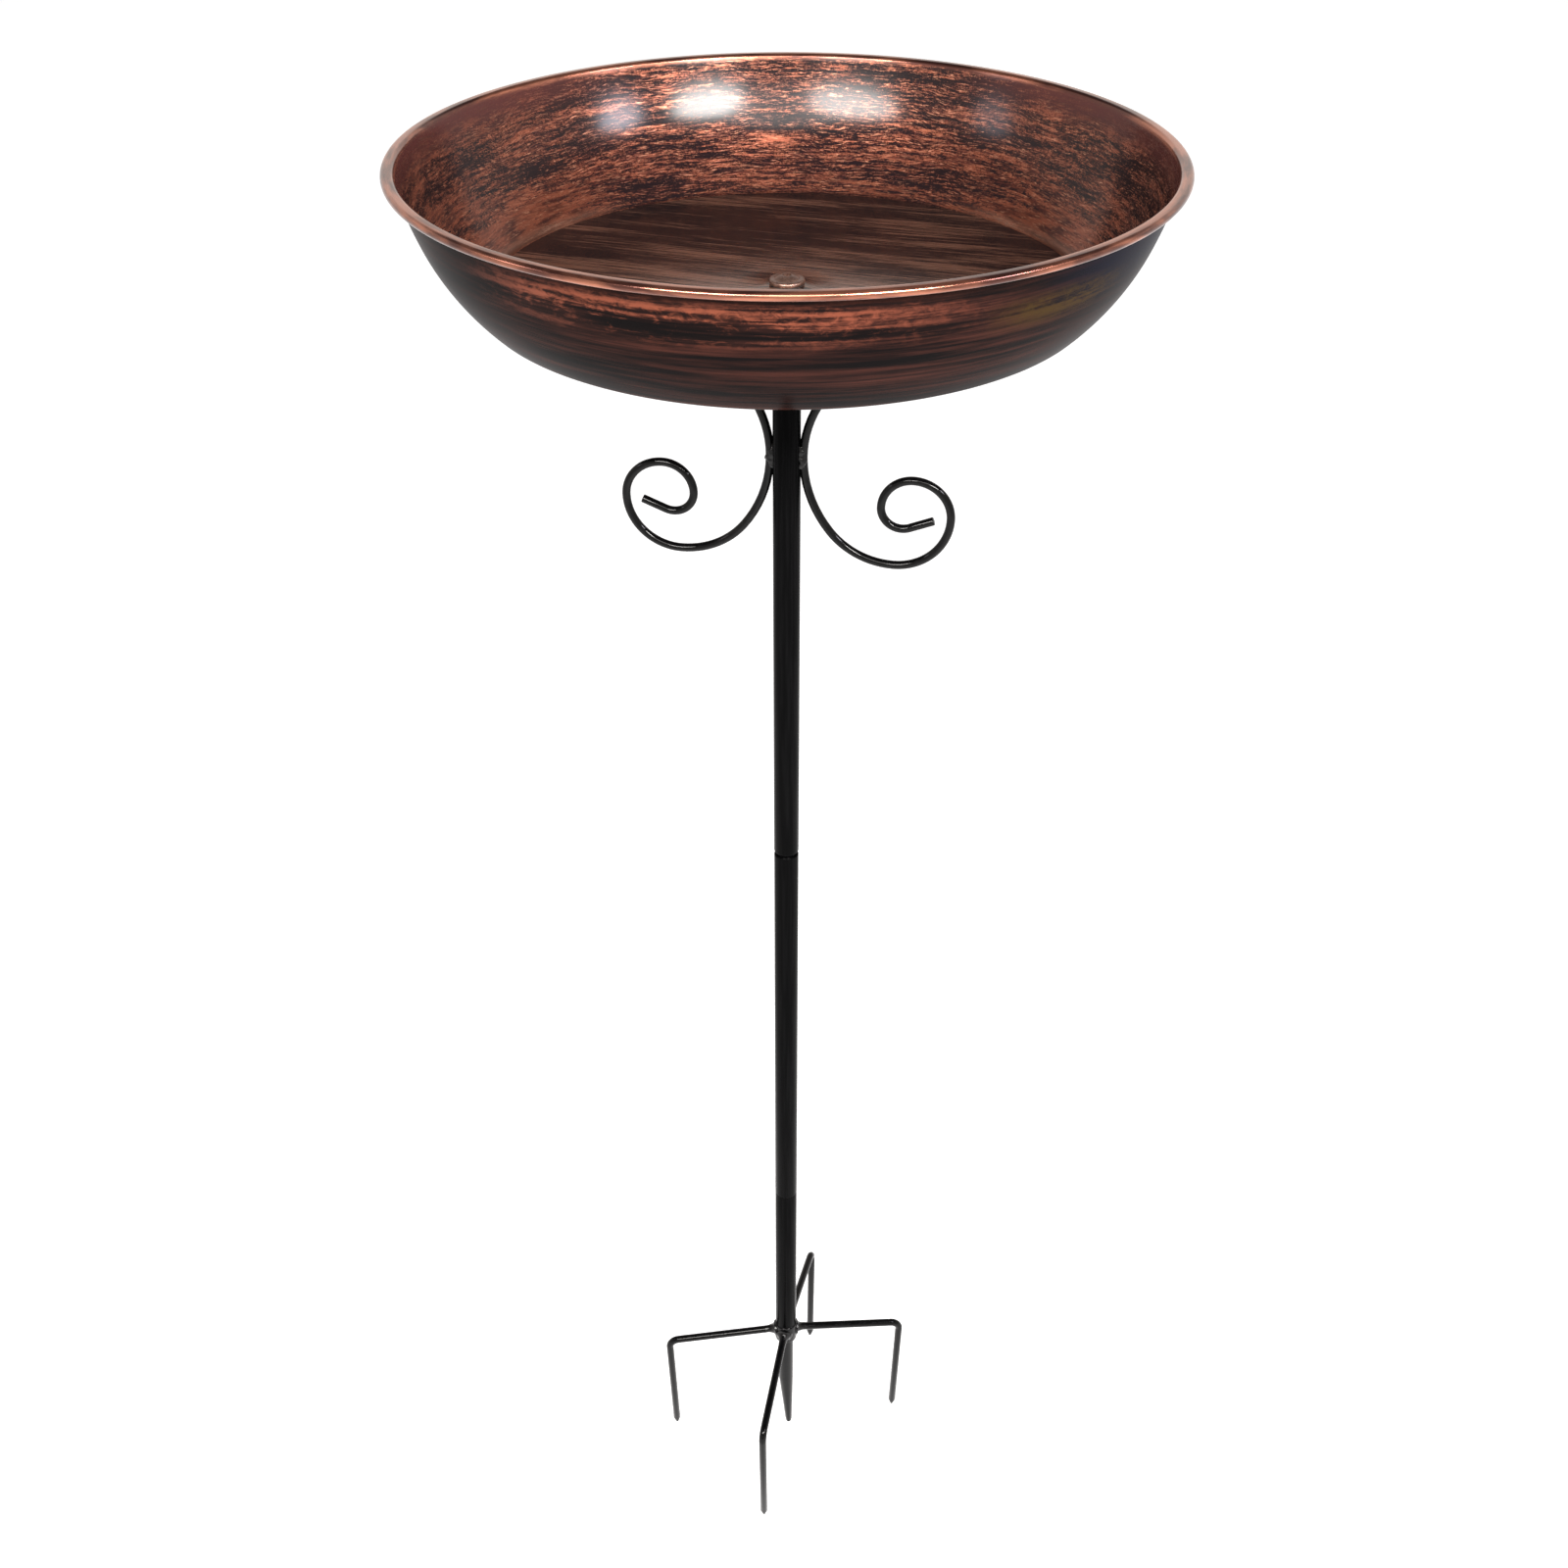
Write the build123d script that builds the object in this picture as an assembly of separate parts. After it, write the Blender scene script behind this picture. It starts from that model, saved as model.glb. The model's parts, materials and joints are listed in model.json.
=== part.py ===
from build123d import *
import os
from math import atan2, cos, degrees, hypot, radians, sin

# Bird feeder on a garden pole: a shallow pressed dish screwed to the top of a three-piece tube,
# with two wire scrolls under it and a ground stake with a spike and four prongs.
# Millimetres, +Z up. The origin is on the pole's axis at the ground line, the stake collar's lower face.

# Heights above the ground line
COLLAR_TOP = 14.0
LOWER_JOINT = 138.5
UPPER_JOINT = 406.0
RIM_HEIGHT = 782.0

# Dish: pressed sheet with a rolled, flattened rim
DISH_RADIUS = 175.0
SHEET = 1.2
DISH_DEPTH = 58.8
WALL_SPREAD = 39.5
CORNER_RADIUS = 5.0
CORNER_TURN = 44.1
LOWER_WALL_RADIUS = 99.0
LOWER_WALL_TURN = 24.0
UPPER_WALL_RADIUS = 199.0
UPPER_WALL_TURN = 7.2
ROLL_RADIUS = 1.3
ROLL_FLAT = 2.08
ROLL_RETURN = 1.3
BOSS_RADIUS = 8.0
BOSS_FOOT_RADIUS = 14.0
BOSS_RISE = 1.0
SCREW_HOLE_RADIUS = 3.3

# Pole tube: plain lower ends that slip over reduced upper ends
TUBE_RADIUS = 6.0
TUBE_BORE_RADIUS = 5.3
SPIGOT_RADIUS = 5.25
SPIGOT_BORE_RADIUS = 4.55
SPIGOT_LENGTH = 45.0
SPIGOT_LEAD = 1.0
NECK_RADIUS = 5.45
UPPER_NECK_LENGTH = 3.2
LOWER_NECK_LENGTH = 0.6
NECK_CONE = 0.55

# Head of the pole: washers, flange and threaded insert under the dish
SEAT_WASHER_RADIUS = 7.4
SEAT_WASHER_THICKNESS = 2.0
FLANGE_RADIUS = 25.0
FLANGE_THICKNESS = 2.5
FLANGE_EDGE_ROUND = 0.8
FLANGE_WELD_LEG = 3.0
FLANGE_WELD_HOLLOW = 4.5
INSERT_LENGTH = 22.0
INSERT_CHAMFER = 0.6
THREAD_RADIUS = 3.0

# Dish screw and the two washers under its head
SEALING_WASHER_RADIUS = 7.0
SEALING_WASHER_THICKNESS = 1.0
SCREW_WASHER_RADIUS = 7.5
SCREW_WASHER_THICKNESS = 0.8
WASHER_BORE_RADIUS = 3.2
HEAD_RADIUS = 6.2
HEAD_HEIGHT = 2.8
HEAD_RIM = 0.6
SOCKET_RADIUS = 2.3
SOCKET_DEPTH = 1.6
SHANK_RADIUS = 2.95
SHANK_LENGTH = 25.0
SHANK_POINT = 0.8

# Scrolls: round wire bent in one upright plane, welded to the tube where it runs beside it
WIRE_RADIUS = 2.1
SCROLL_AZIMUTH = -10.0
SCROLL_WELD_HEIGHT = 640.0
WELD_GAP = 0.05
ARM_RADIUS = 55.0
ARM_TURN = 50.0
FOOT_BEND_RADIUS = 12.0
FOOT_LENGTH = 12.0
DISH_TO_FOOT = 0.3
CURL = ((62.0, 38.0), (40.5, 52.0), (27.0, 90.0), (18.7, 90.0), (15.3, 90.0), (10.4, 112.0))
CURL_TAIL = 12.5
SCROLL_WELD_LENGTH = 18.0
SCROLL_WELD_DEPTH = 3.4
SCROLL_WELD_WIDTH = 5.6

# Ground stake
COLLAR_RADIUS = 7.05
COLLAR_ROUND = 0.8
PRONG_RADIUS = 2.4
PRONG_ROOT_HEIGHT = 8.3
PRONG_REACH = 78.2
PRONG_DROOP = 12.7
PRONG_TIP_HEIGHT = -90.3
PRONG_TIP_INSET = 2.6
PRONG_BEND_RADIUS = 7.0
PRONG_POINT_LENGTH = 5.5
PRONG_POINT_RADIUS = 0.9
PRONG_POINT_ROUND = 0.72
PRONG_AZIMUTHS = {"prong_left": 180.9, "prong_right": 10.7, "prong_front": 259.0, "prong_back": 76.6}
FLARE_LENGTH = 6.5
FLARE_RADIUS = 5.4
SPIKE_RADIUS = 4.9
SPIKE_STRAIGHT = 41.0
SPIKE_TIP_HEIGHT = -87.5
SPIKE_TIP_THICKNESS = 4.6
SPIKE_TIP_WIDTH = 8.4
SPIKE_TIP_OFFSET = 1.9
SPIKE_TIP_ROUND = 1.2
SPIKE_BORE_END = -30.0

# Levels that follow from the sizes above
FLOOR_MIDDLE = RIM_HEIGHT - DISH_DEPTH
FLOOR_UNDERSIDE = FLOOR_MIDDLE - SHEET / 2
FLOOR_EDGE_RADIUS = DISH_RADIUS - WALL_SPREAD
BOSS_MIDDLE = FLOOR_MIDDLE + BOSS_RISE
BOSS_TOP = BOSS_MIDDLE + SHEET / 2
BOSS_UNDERSIDE = BOSS_MIDDLE - SHEET / 2
FLANGE_TOP = BOSS_UNDERSIDE - SEAT_WASHER_THICKNESS
SCREW_WASHER_BASE = BOSS_TOP + SEALING_WASHER_THICKNESS
HEAD_BASE = SCREW_WASHER_BASE + SCREW_WASHER_THICKNESS


def turned(points):
    """A solid of revolution about the pole's axis from a closed outline of (radius, height) points."""
    outline = make_face(Plane.XZ * Polyline(*points, close=True))
    return revolve(outline, Axis.Z)


def disc(outer, inner, base, thickness):
    """A flat ring on the pole's axis."""
    top = base + thickness
    return turned([(inner, base), (outer, base), (outer, top), (inner, top)])


def dish():
    """The pressed dish: centre boss, flat floor, curved wall and a rim rolled over to the outside."""
    with BuildSketch(Plane.XZ) as section:
        with BuildLine():
            boss = Line((SCREW_HOLE_RADIUS, BOSS_MIDDLE), (BOSS_RADIUS, BOSS_MIDDLE))
            ramp = Line(boss @ 1, (BOSS_FOOT_RADIUS, FLOOR_MIDDLE))
            floor = Line(ramp @ 1, (FLOOR_EDGE_RADIUS, FLOOR_MIDDLE))
            corner = JernArc(floor @ 1, floor % 1, CORNER_RADIUS, CORNER_TURN)
            lower_wall = JernArc(corner @ 1, corner % 1, LOWER_WALL_RADIUS, LOWER_WALL_TURN)
            upper_wall = JernArc(lower_wall @ 1, lower_wall % 1, UPPER_WALL_RADIUS, UPPER_WALL_TURN)
            wall_turn = CORNER_TURN + LOWER_WALL_TURN + UPPER_WALL_TURN
            roll_in = JernArc(upper_wall @ 1, upper_wall % 1, ROLL_RADIUS, -wall_turn)
            roll_top = Line(roll_in @ 1, roll_in @ 1 + Vector(ROLL_FLAT, 0))
            roll_out = JernArc(roll_top @ 1, roll_top % 1, ROLL_RADIUS, -180)
            Line(roll_out @ 1, roll_out @ 1 - Vector(ROLL_RETURN, 0))
        trace(line_width=SHEET)
    return revolve(section.sketch, Axis.Z)


def tube(base, shoulder, neck_length):
    """One pole tube. Its upper end is drawn in to a neck and a spigot for the next tube."""
    neck_top = shoulder
    neck_base = shoulder - neck_length
    spigot_top = neck_top + SPIGOT_LENGTH
    bore_step = neck_base - 2 * NECK_CONE
    return turned(
        [
            (TUBE_BORE_RADIUS, base),
            (TUBE_RADIUS, base),
            (TUBE_RADIUS, neck_base),
            (NECK_RADIUS, neck_base + NECK_CONE),
            (NECK_RADIUS, neck_top),
            (SPIGOT_RADIUS, neck_top),
            (SPIGOT_RADIUS, spigot_top - SPIGOT_LEAD),
            (SPIGOT_RADIUS - SPIGOT_LEAD / 2, spigot_top),
            (SPIGOT_BORE_RADIUS, spigot_top),
            (SPIGOT_BORE_RADIUS, bore_step + NECK_CONE),
            (TUBE_BORE_RADIUS, bore_step),
        ]
    )


def upper_tube():
    """The top tube, plain at both ends. Its upper end is flush with the flange's top face."""
    return disc(TUBE_RADIUS, TUBE_BORE_RADIUS, UPPER_JOINT, FLANGE_TOP - UPPER_JOINT)


def top_flange():
    """The round plate on the tube's top that the dish sits on."""
    plate = disc(FLANGE_RADIUS, TUBE_RADIUS, FLANGE_TOP - FLANGE_THICKNESS, FLANGE_THICKNESS)
    rim = plate.edges().filter_by(GeomType.CIRCLE).sort_by(lambda edge: edge.radius)[-2:]
    return fillet(rim, FLANGE_EDGE_ROUND)


def flange_weld():
    """The fillet weld ring between the tube and the flange's lower face."""
    top = FLANGE_TOP - FLANGE_THICKNESS
    with BuildSketch(Plane.XZ) as section:
        with BuildLine():
            Line((TUBE_RADIUS, top - FLANGE_WELD_LEG), (TUBE_RADIUS, top))
            Line((TUBE_RADIUS, top), (TUBE_RADIUS + FLANGE_WELD_LEG, top))
            RadiusArc(
                (TUBE_RADIUS + FLANGE_WELD_LEG, top),
                (TUBE_RADIUS, top - FLANGE_WELD_LEG),
                FLANGE_WELD_HOLLOW,
            )
        make_face()
    return revolve(section.sketch, Axis.Z)


def tube_insert():
    """The threaded plug pressed into the top of the pole."""
    base = FLANGE_TOP - INSERT_LENGTH
    outer = TUBE_BORE_RADIUS
    return turned(
        [
            (THREAD_RADIUS, base),
            (outer - INSERT_CHAMFER, base),
            (outer, base + INSERT_CHAMFER),
            (outer, FLANGE_TOP),
            (THREAD_RADIUS, FLANGE_TOP),
        ]
    )


def dish_screw():
    """The screw through the dish: a low domed head with a hexagon socket, and a plain-drawn thread."""
    dome_rise = HEAD_HEIGHT - HEAD_RIM
    with BuildSketch(Plane.XZ) as section:
        with BuildLine():
            rim_top = HEAD_BASE + HEAD_RIM
            crown = HEAD_BASE + HEAD_HEIGHT
            dome_radius = (HEAD_RADIUS**2 + dome_rise**2) / (2 * dome_rise)
            shank_end = HEAD_BASE - SHANK_LENGTH
            RadiusArc((0, crown), (HEAD_RADIUS, rim_top), dome_radius)
            Polyline(
                (HEAD_RADIUS, rim_top),
                (HEAD_RADIUS, HEAD_BASE),
                (SHANK_RADIUS, HEAD_BASE),
                (SHANK_RADIUS, shank_end + SHANK_POINT),
                (SHANK_RADIUS - SHANK_POINT, shank_end),
                (0, shank_end),
                (0, crown),
            )
        make_face()
    body = revolve(section.sketch, Axis.Z)
    socket_floor = HEAD_BASE + HEAD_HEIGHT - SOCKET_DEPTH
    socket = extrude(Plane.XY.offset(socket_floor) * RegularPolygon(SOCKET_RADIUS, 6), 2 * SOCKET_DEPTH)
    return body - socket


def scroll_path():
    """The wire's centre line in its upright plane: foot under the dish, arm, then the closing curl."""
    foot_level = FLOOR_UNDERSIDE - DISH_TO_FOOT - WIRE_RADIUS
    foot_turn = 90 - ARM_TURN
    bend_drop = FOOT_BEND_RADIUS * (1 - cos(radians(foot_turn)))
    with BuildLine() as path:
        beside_tube = (TUBE_RADIUS + WIRE_RADIUS + WELD_GAP, SCROLL_WELD_HEIGHT)
        arm = JernArc(beside_tube, (0, 1), ARM_RADIUS, -ARM_TURN)
        rise = foot_level - bend_drop - (arm @ 1).Y
        straight = Line(arm @ 1, arm @ 1 + (arm % 1) * (rise / (arm % 1).Y))
        bend = JernArc(straight @ 1, straight % 1, FOOT_BEND_RADIUS, -foot_turn)
        Line(bend @ 1, bend @ 1 + Vector(FOOT_LENGTH, 0))
        start, heading = Vector(*beside_tube), Vector(0, -1)
        for radius, turn in CURL:
            arc = JernArc(start, heading, radius, turn)
            start, heading = arc @ 1, arc % 1
        Line(start, start + heading * CURL_TAIL)
    return Plane.XZ * path.wire()


def scroll(azimuth):
    """One wire scroll, turned round the pole to its azimuth."""
    path = scroll_path()
    profile = Plane(path @ 0, z_dir=path % 0) * Circle(WIRE_RADIUS)
    return Rot(0, 0, azimuth) * sweep(profile, path=path)


def scroll_weld(azimuth, neighbours):
    """A weld bead in the groove between the tube and a scroll, trimmed to what it joins."""
    centre = TUBE_RADIUS + WIRE_RADIUS / 2
    half_sizes = (SCROLL_WELD_DEPTH, SCROLL_WELD_WIDTH / 2, SCROLL_WELD_LENGTH / 2)
    bead = Rot(0, 0, azimuth) * Pos(centre, 0, SCROLL_WELD_HEIGHT) * scale(Sphere(1), by=half_sizes)
    for neighbour in neighbours:
        bead -= neighbour
    return bead


def stake_collar():
    """The short sleeve welded round the spike, which carries the prongs and the lowest tube."""
    sleeve = disc(COLLAR_RADIUS, TUBE_BORE_RADIUS, 0, COLLAR_TOP)
    rims = sleeve.edges().filter_by(GeomType.CIRCLE).filter_by(lambda edge: edge.radius > TUBE_RADIUS)
    return fillet(rims, COLLAR_ROUND)


def ground_spike():
    """The stake's middle tube: spigot above the collar, and below it a shank pressed to a flat point."""
    spigot_top = COLLAR_TOP + SPIGOT_LENGTH
    shank = turned(
        [
            (0, -SPIKE_STRAIGHT),
            (SPIKE_RADIUS, -SPIKE_STRAIGHT),
            (SPIKE_RADIUS, 0),
            (SPIGOT_RADIUS, 0),
            (SPIGOT_RADIUS, spigot_top - SPIGOT_LEAD),
            (SPIGOT_RADIUS - SPIGOT_LEAD / 2, spigot_top),
            (0, spigot_top),
        ]
    )
    shoulder = Plane.XY.offset(-SPIKE_STRAIGHT) * Circle(SPIKE_RADIUS)
    tip_plane = Plane((SPIKE_TIP_OFFSET, 0, SPIKE_TIP_HEIGHT))
    tip = tip_plane * Ellipse(SPIKE_TIP_THICKNESS / 2, SPIKE_TIP_WIDTH / 2)
    point = loft([tip, shoulder])
    point = fillet(point.faces().sort_by(Axis.Z)[0].edges(), SPIKE_TIP_ROUND)
    bore_length = spigot_top - SPIKE_BORE_END
    bore = Pos(0, 0, SPIKE_BORE_END + bore_length / 2) * Cylinder(SPIGOT_BORE_RADIUS, bore_length)
    return shank + point - bore


def prong_points():
    """Root, bend and tip of a prong's centre line as (reach, height)."""
    root = (0, PRONG_ROOT_HEIGHT)
    bend = (PRONG_REACH, PRONG_ROOT_HEIGHT - PRONG_DROOP)
    tip = (PRONG_REACH - PRONG_TIP_INSET, PRONG_TIP_HEIGHT)
    return root, bend, tip


def prong(azimuth):
    """One bent rod: a drooping arm out from the collar, then a leg down to a blunt point."""
    root, bend, tip = prong_points()
    leg_angle = atan2(tip[1] - bend[1], tip[0] - bend[0])
    along = Vector(cos(leg_angle), 0, sin(leg_angle))
    tip_point = Vector(tip[0], 0, tip[1])
    point_base = tip_point - PRONG_POINT_LENGTH * along
    corners = [(root[0], 0, root[1]), (bend[0], 0, bend[1]), point_base]
    path = FilletPolyline(*corners, radius=PRONG_BEND_RADIUS)
    rod = sweep(Plane(path @ 0, z_dir=path % 0) * Circle(PRONG_RADIUS), path=path)
    point_centre = (point_base + tip_point) / 2
    point = Plane(point_centre, z_dir=along) * Cone(PRONG_RADIUS, PRONG_POINT_RADIUS, PRONG_POINT_LENGTH)
    point = fillet(point.edges().sort_by(Axis.Z)[0], PRONG_POINT_ROUND)
    sleeve_space = Pos(0, 0, COLLAR_TOP / 2) * Cylinder(COLLAR_RADIUS, 2 * COLLAR_TOP)
    return Rot(0, 0, azimuth) * (rod + point - sleeve_space)


def prong_flare(azimuth):
    """A concave weld round a prong's root, widest against the collar."""
    root, bend, _ = prong_points()
    droop = degrees(atan2(root[1] - bend[1], bend[0] - root[0]))
    sweep_radius = hypot(FLARE_LENGTH, FLARE_RADIUS - PRONG_RADIUS)
    outer_end = COLLAR_RADIUS + FLARE_LENGTH
    with BuildSketch(Plane.XZ) as section:
        with BuildLine():
            RadiusArc((COLLAR_RADIUS, FLARE_RADIUS), (outer_end, PRONG_RADIUS), -sweep_radius)
            Polyline(
                (outer_end, PRONG_RADIUS),
                (outer_end, 0),
                (COLLAR_RADIUS / 2, 0),
                (COLLAR_RADIUS / 2, FLARE_RADIUS),
                (COLLAR_RADIUS, FLARE_RADIUS),
            )
        make_face()
    flare = revolve(section.sketch, Axis.X)
    return Rot(0, 0, azimuth) * Pos(0, 0, root[1]) * Rot(0, droop, 0) * flare


def prong_welds(prongs):
    """The four weld flares, which run together round the collar."""
    welds = Part()
    for azimuth in PRONG_AZIMUTHS.values():
        welds += prong_flare(azimuth)
    collar_space = Pos(0, 0, COLLAR_TOP / 2) * Cylinder(COLLAR_RADIUS, 4 * COLLAR_TOP)
    above_collar = Pos(0, 0, COLLAR_TOP + COLLAR_TOP / 2) * Cylinder(2 * COLLAR_TOP, COLLAR_TOP)
    welds -= collar_space
    welds -= above_collar
    for rod in prongs:
        welds -= rod
    return welds


def feeder():
    """Every piece of the feeder by name, in its place."""
    pieces = {}
    pieces["bowl"] = dish()
    pieces["bowl_screw"] = dish_screw()
    pieces["screw_washer"] = disc(
        SCREW_WASHER_RADIUS, WASHER_BORE_RADIUS, SCREW_WASHER_BASE, SCREW_WASHER_THICKNESS
    )
    pieces["sealing_washer"] = disc(
        SEALING_WASHER_RADIUS, WASHER_BORE_RADIUS, BOSS_TOP, SEALING_WASHER_THICKNESS
    )
    pieces["seat_washer"] = disc(
        SEAT_WASHER_RADIUS, WASHER_BORE_RADIUS, FLANGE_TOP, SEAT_WASHER_THICKNESS
    )
    pieces["top_flange"] = top_flange()
    pieces["flange_weld"] = flange_weld()
    pieces["tube_insert"] = tube_insert()
    pieces["upper_tube"] = upper_tube()
    pieces["middle_tube"] = tube(LOWER_JOINT, UPPER_JOINT, UPPER_NECK_LENGTH)
    pieces["lower_tube"] = tube(COLLAR_TOP, LOWER_JOINT, LOWER_NECK_LENGTH)

    welds = []
    for name, azimuth in (("right_scroll", SCROLL_AZIMUTH), ("left_scroll", SCROLL_AZIMUTH + 180)):
        pieces[name] = scroll(azimuth)
        tube_space = Pos(0, 0, SCROLL_WELD_HEIGHT) * Cylinder(TUBE_RADIUS, 2 * SCROLL_WELD_LENGTH)
        welds.append(scroll_weld(azimuth, [tube_space, pieces[name]]))
    pieces["scroll_welds"] = Compound(children=[solid for weld in welds for solid in weld.solids()])

    prongs = {name: prong(azimuth) for name, azimuth in PRONG_AZIMUTHS.items()}
    pieces.update(prongs)
    pieces["prong_welds"] = prong_welds(prongs.values())
    pieces["stake_collar"] = stake_collar()
    pieces["ground_spike"] = ground_spike()
    return pieces


os.makedirs("parts", exist_ok=True)
for node, shape in feeder().items():
    export_step(shape, f"parts/{node}.step")
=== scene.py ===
import json
from math import asin, atan2, cos, hypot, pi, radians, sin

import bmesh
import bpy
from mathutils import Matrix, Vector, noise


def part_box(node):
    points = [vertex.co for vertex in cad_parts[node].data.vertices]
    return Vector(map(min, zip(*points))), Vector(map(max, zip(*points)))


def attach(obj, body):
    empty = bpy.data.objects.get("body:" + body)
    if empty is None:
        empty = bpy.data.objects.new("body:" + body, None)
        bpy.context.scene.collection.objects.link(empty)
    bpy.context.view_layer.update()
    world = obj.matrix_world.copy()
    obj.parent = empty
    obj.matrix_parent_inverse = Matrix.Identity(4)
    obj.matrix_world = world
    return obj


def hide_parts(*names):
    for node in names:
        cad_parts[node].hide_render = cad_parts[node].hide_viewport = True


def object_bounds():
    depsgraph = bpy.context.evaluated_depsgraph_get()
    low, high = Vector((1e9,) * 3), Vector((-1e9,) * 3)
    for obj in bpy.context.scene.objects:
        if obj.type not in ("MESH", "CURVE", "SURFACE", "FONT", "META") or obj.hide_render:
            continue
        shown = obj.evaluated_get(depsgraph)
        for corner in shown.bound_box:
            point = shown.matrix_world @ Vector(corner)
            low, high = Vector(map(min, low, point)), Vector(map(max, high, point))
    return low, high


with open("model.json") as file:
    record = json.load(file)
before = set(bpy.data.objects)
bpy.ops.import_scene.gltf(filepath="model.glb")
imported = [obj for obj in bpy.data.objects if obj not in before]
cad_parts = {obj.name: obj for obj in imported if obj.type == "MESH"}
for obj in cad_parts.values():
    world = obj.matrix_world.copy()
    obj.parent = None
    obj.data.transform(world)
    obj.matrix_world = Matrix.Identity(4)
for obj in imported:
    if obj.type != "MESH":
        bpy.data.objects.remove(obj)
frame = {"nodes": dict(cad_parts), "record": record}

# Bird feeder on a garden pole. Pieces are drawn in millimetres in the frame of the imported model,
# +Z up with the origin on the pole's axis at the ground line, and brought to metres at the end.
MM = 0.001
CAD_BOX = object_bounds()
BODIES = frame["record"]["behaviour"]["bodies"]
BODY_OF = {node: body for body, nodes in BODIES.items() for node in nodes}


def low(node):
    """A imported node's lowest corner, in millimetres."""
    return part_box(node)[0] / MM


def high(node):
    """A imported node's highest corner, in millimetres."""
    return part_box(node)[1] / MM


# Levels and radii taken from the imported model
DISH_RADIUS = high("bowl").x
DISH_UNDERSIDE = low("bowl").z
FLANGE_TOP = high("top_flange").z
FLANGE_BASE = low("top_flange").z
FLANGE_RADIUS = high("top_flange").x
TUBE_RADIUS = high("upper_tube").x
UPPER_JOINT = low("upper_tube").z
LOWER_JOINT = low("middle_tube").z
COLLAR_TOP = high("stake_collar").z
COLLAR_RADIUS = high("stake_collar").x
HEAD_BASE = high("screw_washer").z
HEAD_TOP = high("bowl_screw").z
HEAD_RADIUS = high("bowl_screw").x
SCREW_END = low("bowl_screw").z

# Dish: pressed sheet with a centre boss and a rolled, flattened rim
SHEET = 1.2
WALL_SPREAD = 39.5
SCREW_HOLE_RADIUS = 3.3
BOSS_RADIUS = 8.0
BOSS_FOOT_RADIUS = 14.0
BOSS_RISE = 1.0
CORNER = (5.0, 44.1)
LOWER_WALL = (99.0, 24.0)
UPPER_WALL = (199.0, 7.2)
ROLL_RADIUS = 1.3
ROLL_FLAT = 2.08
ROLL_RETURN = 1.3
DISH_STEPS = 256

# Pole tube
BORE_RADIUS = 5.3
SPIGOT_RADIUS = 5.25
SPIGOT_BORE_RADIUS = 4.55
SPIGOT_LENGTH = 45.0
SPIGOT_LEAD = 1.0
NECK_RADIUS = 5.45
UPPER_NECK_LENGTH = 3.2
LOWER_NECK_LENGTH = 0.6
NECK_CONE = 0.55
MOUTH_ROUND = 0.22
TUBE_STEPS = 72

# Head of the pole and the dish screw
FLANGE_EDGE_ROUND = 0.8
FLANGE_WELD_LEG = 3.0
FLANGE_WELD_OVERLAP = 0.2
PUDDLE_DEPTH = 0.12
PUDDLE_WAVES = 9
WASHER_BORE_RADIUS = 3.2
WASHER_ROUND = 0.22
HEAD_RIM = 0.6
SOCKET_RADIUS = 2.3
SOCKET_DEPTH = 1.6
THREAD_RADIUS = 2.95
THREAD_ROOT = 2.4
THREAD_PITCH = 1.0
THREAD_OVERLAP = 0.05
THREAD_START = 0.9
SCREW_POINT = 0.8
SOCKET_MOUTH = 1.18
SOCKET_CUTS = 7

# Scrolls
WIRE_RADIUS = 2.1
SCROLL_AZIMUTH = -10.0
SCROLL_WELD_HEIGHT = 640.0
WELD_GAP = 0.05
ARM_RADIUS = 55.0
ARM_TURN = 50.0
FOOT_BEND_RADIUS = 12.0
FOOT_LENGTH = 12.0
DISH_TO_FOOT = 0.3
CURL = ((62.0, 38.0), (40.5, 52.0), (27.0, 90.0), (18.7, 90.0), (15.3, 90.0), (10.4, 112.0))
CURL_TAIL = 12.5
SCROLL_WELD_HALF = (3.3, 2.75, 7.0)
WIRE_STEPS = 28
CUT_ROUND = 0.5

# Ground stake
PRONG_RADIUS = 2.4
PRONG_ROOT_HEIGHT = 8.3
PRONG_REACH = 78.2
PRONG_DROOP = 12.7
PRONG_TIP_HEIGHT = -90.3
PRONG_TIP_INSET = 2.6
PRONG_BEND_RADIUS = 7.0
PRONG_POINT_LENGTH = 5.5
PRONG_POINT_RADIUS = 0.9
PRONG_AZIMUTHS = {"left": 180.9, "right": 10.7, "front": 259.0, "back": 76.6}
FLARE_LENGTH = 6.5
FLARE_RADIUS = 5.4
COLLAR_ROUND = 0.8
SPIKE_RADIUS = 4.9
SPIKE_STRAIGHT = 41.0
SPIKE_TIP_HEIGHT = -87.5
SPIKE_TIP_OFFSET = 1.9
SPIKE_TIP_HALF = (2.3, 4.2)
SPIKE_TIP_ROUND = 1.2


# ---------------------------------------------------------------- shaping


class Line:
    """A line drawn through straight runs and arcs, as points (across, up) with the distance run."""

    def __init__(self, across, up):
        self.points = [(across, up)]
        self.run = [0.0]
        self.heading = 0.0

    def _go(self, across, up):
        x, y = self.points[-1]
        self.run.append(self.run[-1] + hypot(across, up))
        self.points.append((x + across, y + up))

    def straight(self, length, steps=1):
        for _ in range(steps):
            self._go(length / steps * cos(self.heading), length / steps * sin(self.heading))

    def to(self, across, up, steps=1):
        """A straight run to a point. The heading stays as it was."""
        x, y = self.points[-1]
        for _ in range(steps):
            self._go((across - x) / steps, (up - y) / steps)

    def arc(self, radius, turn, steps):
        """An arc that turns left for a positive turn and right for a negative one, in degrees."""
        side = 1 if turn > 0 else -1
        for _ in range(steps):
            after = self.heading + radians(turn) / steps
            self._go(
                side * radius * (sin(after) - sin(self.heading)),
                side * radius * (cos(self.heading) - cos(after)),
            )
            self.heading = after


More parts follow.
